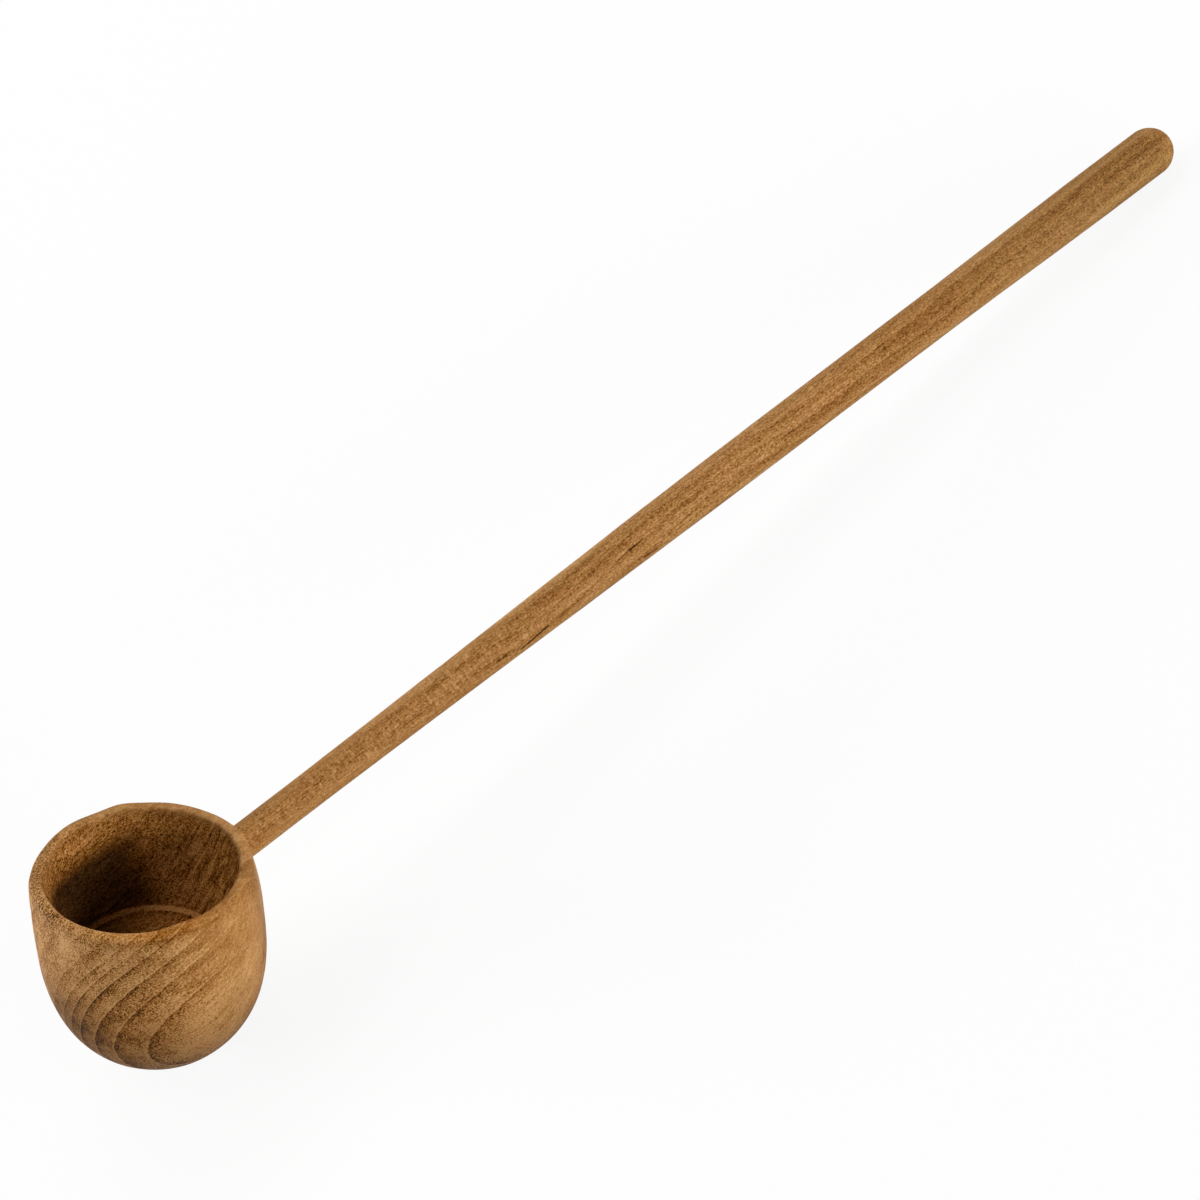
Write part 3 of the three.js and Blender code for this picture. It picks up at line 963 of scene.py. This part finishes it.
scratches = [
    [on_surface(bowl, cup_place @ Vector(point), cup_log) for point in line] for line in SCRATCHES]


def cup_marks(bench, log, place, tone):
    """The painted light and shade, painted shade on the rim's top and along its outer edge, and the
    scratches in the hollow.
    """
    shade_breaks = bench.remap(streaks(bench, log, *RIM_SHADE_BREAKS), *RIM_SHADE_BREAKS_EDGE)
    # painted light and painted shade shift the tone
    tone = bench.math("ADD", tone, place["pale"])
    # painted shade on the rim's top
    tone = more(bench, tone, place["rim"], CUP_ADDS["rim"])
    # a broken line of painted shade along the rim's outer edge
    tone = more(bench, tone, bench.times(place["rim_edge"], shade_breaks), CUP_ADDS["rim_edge_shade"])
    for start, end in scratches:
        tone = more(bench, tone, hairline(bench, log, start, end, SCRATCH_WIDTH), CUP_ADDS["scratches"])
    return tone


def cup_teak(material):
    bench = empty_bench(material)
    log = in_log(bench, cup_log)
    along = along_log(bench, log)
    place = {}
    for name in PAINTED:
        place[name] = bench.add("ShaderNodeAttribute", attribute_name=name).outputs["Fac"]
    tone = cup_streaks(bench, log, along, place, cup_rings(bench, log, along))

    coarse = bench.math("MAXIMUM", bench.remap(along, *COARSE_FADE), place["hollow"])
    coarse = more(bench, coarse, place["tool_marks"], COARSE_TOOL_MARKS)
    speckle = streaks(bench, log, *CUP_SPECKLE)
    pores = bench.times(open_pores(bench, log, CUP_PORES), coarse)
    tone = layer(bench, tone, speckle, bench.times(coarse, CUP_ADDS["speckle"]))
    tone = more(bench, tone, pores, CUP_ADDS["pores"])
    tone = cup_marks(bench, log, place, tone)

    red, rich = 0.0, 1.0
    for name, amount in CUP_RED.items():
        red = more(bench, red, place[name], amount)
    for name, amount in CUP_RICH.items():
        rich = more(bench, rich, place[name], amount)
    # the painted shade, with darker wood in places, dims the finished colour
    light = bench.math("SUBTRACT", 1.0, place["shade_and_dark_wood"])
    oiled_wood(bench, log, tone, speckle, pores, red, rich, light, raw=place["hollow"])


cup_wood = bpy.data.materials.new("cup_wood")
cup_teak(cup_wood)
cup_mesh.materials.append(cup_wood)
print("cup teak:", len(cup_wood.node_tree.nodes), "nodes")

# %% [markdown]
# ## The handle's teak
# The handle is split along the grain, so its rings show as long stripes that drift from side to side.
# Near the cup, on the two faces that look along the rings, short wavy flecks show
# where the rays of the wood come to the surface.
# The rings are so wide against the rod that flat layers stand in for them: a stack of sheets
# is simpler than cylinders and gives the same stripes.

# %% Lay the handle's stripes and flecks
RING_STACK = Vector((0, 0.707, 0.707))
RAY_FACE = Vector((0, -0.707, 0.707))
HANDLE_RING = 0.0029
STRIPE_LIGHT = [(0.0, 0.4), (0.06, 0.9), (0.5, 0.6), (0.9, 0.1), (1.0, 0.4)]
STRIPE_DRIFT = (0.055, 0.02, 1.0), 0.010
STRIPE_WOBBLE = (0.008, 0.002, 1.0), 0.0012
HANDLE_BANDS = (0.090, 0.0030)
HANDLE_FIBRES = (0.018, 0.0008, 3.0, 0.6)
DARK_FLECKS = (0.0011, 0.0018, 1.0, 0.5, 1.2)
PALE_FLECKS = (0.0007, 0.0028, 1.0, 0.5, 0.6)
DARK_FLECK_EDGE, PALE_FLECK_EDGE = (0.44, 0.60), (0.55, 0.66)
FLECKED_FACE, PAINTED_SHEEN_SIDES = (0.0030, 0.0040), (0.0026, 0.0048)
BY_THE_CUP, FLECKED_LENGTH = (0.030, 0.110), (0.060, 0.110)
WHOLE_SHAFT, GRIP, TIP = (0.05, 0.22), (0.17, 0.25), (0.21, 0.255)
HANDLE_ADDS = dict(
    stripes=0.24, tip=-0.08, flecked_face=-0.06, dark_flecks=-0.12, pale_flecks=0.18, painted_side_sheen=0.16)

handle_log = log_frame(handle_place.translation, cup_place.to_3x3() @ handle_along, cup_across)


def handle_stripes(bench, log, along):
    """Long stripes where the rings run out on the round shaft, calm near the cup and at the grip."""
    bold = bench.remap(along, *BY_THE_CUP, 0.45, 1.0)
    bold = bench.times(bold, bench.remap(along, *GRIP, 1.0, 0.62))
    bands = bench.times(bold, bench.remap(along, *GRIP, 0.52, 0.72))
    fibres = bench.times(bold, bench.remap(along, *GRIP, 0.42, 0.12))
    tone = bench.remap(along, *WHOLE_SHAFT, 0.62, 0.48)
    tone = more(bench, tone, bench.remap(along, *TIP), HANDLE_ADDS["tip"])
    stacked = bench.vector("DOT_PRODUCT", log, RING_STACK)
    stacked = streaked(bench, stacked, log, STRIPE_DRIFT, STRIPE_WOBBLE)
    season = bench.math("FRACT", bench.math("DIVIDE", stacked, HANDLE_RING))
    stripes = bench.times(bold, HANDLE_ADDS["stripes"])
    tone = layer(bench, tone, ramp(bench, season, STRIPE_LIGHT), stripes)
    return streaked(bench, tone, log, (HANDLE_BANDS, bands), (HANDLE_FIBRES, fibres))


def out_along(bench, log, direction):
    """How far out each point is, on either side."""
    return bench.math("ABSOLUTE", bench.vector("DOT_PRODUCT", log, direction))


def ray_flecks(bench, log, along, tone):
    """Short wavy flecks on the faces that look along the rings, and a painted sheen on the two sides
    between them.
    """
    face = bench.remap(out_along(bench, log, RAY_FACE), *FLECKED_FACE)
    face = bench.times(face, bench.remap(along, *FLECKED_LENGTH, 1.0, 0.25))
    dark = bench.remap(streaks(bench, log, *DARK_FLECKS), *DARK_FLECK_EDGE)
    pale = bench.remap(streaks(bench, log, *PALE_FLECKS), *PALE_FLECK_EDGE)
    # painted sheen: the two sides between the flecked faces are paler
    side_sheen = bench.remap(out_along(bench, log, RING_STACK), *PAINTED_SHEEN_SIDES)
    tone = more(bench, tone, face, HANDLE_ADDS["flecked_face"])
    tone = more(bench, tone, bench.times(dark, face), HANDLE_ADDS["dark_flecks"])
    tone = more(bench, tone, bench.times(pale, face), HANDLE_ADDS["pale_flecks"])
    return more(bench, tone, side_sheen, HANDLE_ADDS["painted_side_sheen"])


print("handle ring:", HANDLE_RING * 1000, "mm")

# %% [markdown]
# ## Checks in the handle
# A rod that dries too fast opens in hairline checks along the grain, and this one has a few.
# They could be cut into the mesh, but they are narrower than its faces,
# so each is a thin line between two points of the skin, given by the distance from the cup
# and the angle from the top of the handle. One pale line among them is a scratch.

# %% Mix the handle's teak
CHECKS = [
    ((0.0748, -98), (0.0824, -87), 0.00030, 0.45),
    ((0.0685, -80), (0.0711, -85), 0.00030, 0.35),
    ((0.1029, -56), (0.1107, -49), 0.00030, 0.36),
    ((0.1068, -52), (0.1082, -51), 0.00050, 0.28),
    ((0.1091, -98), (0.1124, -102), 0.00028, 0.40),
    ((0.1175, -84), (0.1250, -78), 0.00035, -0.20),
]
BEYOND_SKIN = 0.006
HANDLE_SPECKLE = (0.0006, 0.00028, 1.0, 0.6)
HANDLE_SHORT_FIBRES = (0.0040, 0.00045)
HANDLE_PORES = (0.0032, 0.00026, 1.0)
FAR_HALF = (0.15, 0.24)


def on_shaft(along, degrees):
    """A point of the handle's skin, by its distance from the cup and its angle from the top."""
    angle = math.radians(degrees)
    out = Vector((along, BEYOND_SKIN * math.sin(angle), BEYOND_SKIN * math.cos(angle)))
    return on_surface(handle, handle_log @ out, handle_log)


def handle_teak(material):
    bench = empty_bench(material)
    log = in_log(bench, handle_log)
    along = along_log(bench, log)
    tone = ray_flecks(bench, log, along, handle_stripes(bench, log, along))

    speckle = streaks(bench, log, *HANDLE_SPECKLE)
    pores = open_pores(bench, log, HANDLE_PORES)
    grain = bench.remap(along, *FLECKED_LENGTH, 1.0, 1.3)
    grain = bench.times(grain, bench.remap(along, *FAR_HALF, 1.0, 0.77))
    short_fibres = bench.remap(along, *FAR_HALF, 0.4, 0.15)
    tone = layer(bench, tone, speckle, grain)
    tone = streaked(bench, tone, log, (HANDLE_SHORT_FIBRES, short_fibres))
    tone = more(bench, tone, pores, bench.remap(along, *FAR_HALF, -0.12, -0.06))
    for start, end, width, dark in CHECKS:
        line = hairline(bench, log, on_shaft(*start), on_shaft(*end), width)
        tone = more(bench, tone, line, -dark)

    red = bench.remap(along, *GRIP, 0.0, -0.007)
    rich = bench.remap(along, *GRIP, 1.0, 0.96)
    oiled_wood(bench, log, tone, speckle, pores, red, rich)


handle_teak(handle_wood)
print("handle teak:", len(handle_wood.node_tree.nodes), "nodes")

# %% [markdown]
# ## Joining the fixed model
# Each fine piece now stands for its plain solid and moves with the spoon's one body.

# %% Stand the fine pieces in for the plain solids
for piece, node, finish in ((bowl, "bowl", "bowl_teak"), (handle, "handle", "handle_teak")):
    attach(piece, "root")
    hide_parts(node)
    print(piece.name, "stands for", node)

# %% [markdown]
# ## The table
# The picture has a white ground. A white floor under the lamps would come out grey,
# and more light would burn out the wood. So the table glows for the camera and for mirror-like rays,
# a little less near the spoon, where the rest of its look is white paper that keeps a faint shadow.

# %% Set the table
TABLE_SIZE = 6.0
BOUNCE = 0.35
PAPER_WHITE = 0.90
NEAR_GLOW = 0.89
SHADOW_REACH = (0.20, 0.60)

half = TABLE_SIZE / 2
corners = [(-half, -half, 0), (half, -half, 0), (half, half, 0), (-half, half, 0)]
table = new_object("table", smooth_mesh("table", corners, [(0, 1, 2, 3)]))


def seen_directly(bench):
    """1 for rays from the camera and for mirror-like and see-through rays, and 0 for soft light."""
    rays = bench.add("ShaderNodeLightPath").outputs
    sharp = bench.math("MAXIMUM", rays["Is Glossy Ray"], rays["Is Transmission Ray"])
    return bench.math("MAXIMUM", rays["Is Camera Ray"], sharp)


table_white = bpy.data.materials.new("table_white")
bench = empty_bench(table_white)
away = bench.vector("LENGTH", bench.add("ShaderNodeTexCoord").outputs["Object"])
seen = seen_directly(bench)
glow_share = bench.times(seen, bench.remap(away, *SHADOW_REACH, NEAR_GLOW, 1.0))
whiteness = bench.remap(seen, 0, 1, BOUNCE, PAPER_WHITE)
paper = bench.out("ShaderNodeBsdfDiffuse", {"Color": whiteness})
glow = bench.out("ShaderNodeEmission", {"Strength": 1.0})
ground = bench.out("ShaderNodeMixShader", {0: glow_share, 1: paper, 2: glow})
bench.add("ShaderNodeOutputMaterial", {"Surface": ground})
table.data.materials.append(table_white)
print("table:", TABLE_SIZE, "m square")

# %% [markdown]
# ## Backdrop and lamps
# A studio lights wood with large soft panels, so that no hard highlight shows.
# A wide panel high behind the spoon gives the light from above, low strips in front and on the right
# light the near side of the cup and handle, and weaker panels fill the rest.
# Area lamps stand for them, hidden from the camera, which sees a plain white world behind.

# %% Set the backdrop and the lamps
SKY_LEVEL = 0.06
SPOON_MIDDLE = Vector((-0.05, 0, 0.03))
LAMP_DISTANCE = 1.8
PANELS = {
    "high_back_panel": (90, 62, 2.0, 1.0, 16.5),
    "low_front_strip": (290, 10, 1.6, 0.32, 22.0),
    "front_fill": (285, 46, 1.0, 0.8, 5.5),
    "low_right_strip": (335, 6, 1.6, 0.28, 18.0),
    "right_panel": (43, 36, 1.2, 0.6, 5.0),
    "left_panel": (148, 15, 1.2, 0.4, 28.0),
}

world = bpy.data.worlds.new("studio")
bpy.context.scene.world = world
bench = empty_bench(world)
brightness = bench.remap(seen_directly(bench), 0.0, 1.0, SKY_LEVEL, 1.0, smooth=False)
sky = bench.out("ShaderNodeBackground", {"Color": (1, 1, 1, 1), "Strength": brightness})
bench.add("ShaderNodeOutputWorld", {"Surface": sky})


def panel(name, compass, height, width, tall, watts):
    """A soft lamp that faces the spoon, at a compass angle from +X and a height angle in degrees."""
    data = bpy.data.lights.new(name, "AREA")
    data.shape = "RECTANGLE"
    data.size = width
    data.size_y = tall
    data.energy = watts
    lamp = new_object(name, data)
    turned = Euler((0, -math.radians(height), math.radians(compass))).to_matrix()
    away = turned @ Vector((LAMP_DISTANCE, 0, 0))
    lamp.location = SPOON_MIDDLE + away
    lamp.rotation_euler = (-away).to_track_quat("-Z", "Y").to_euler()
    lamp.visible_camera = False


for name, settings in PANELS.items():
    panel(name, *settings)
bpy.context.scene.view_settings.view_transform = "Standard"
print("lamps:", ", ".join(PANELS))
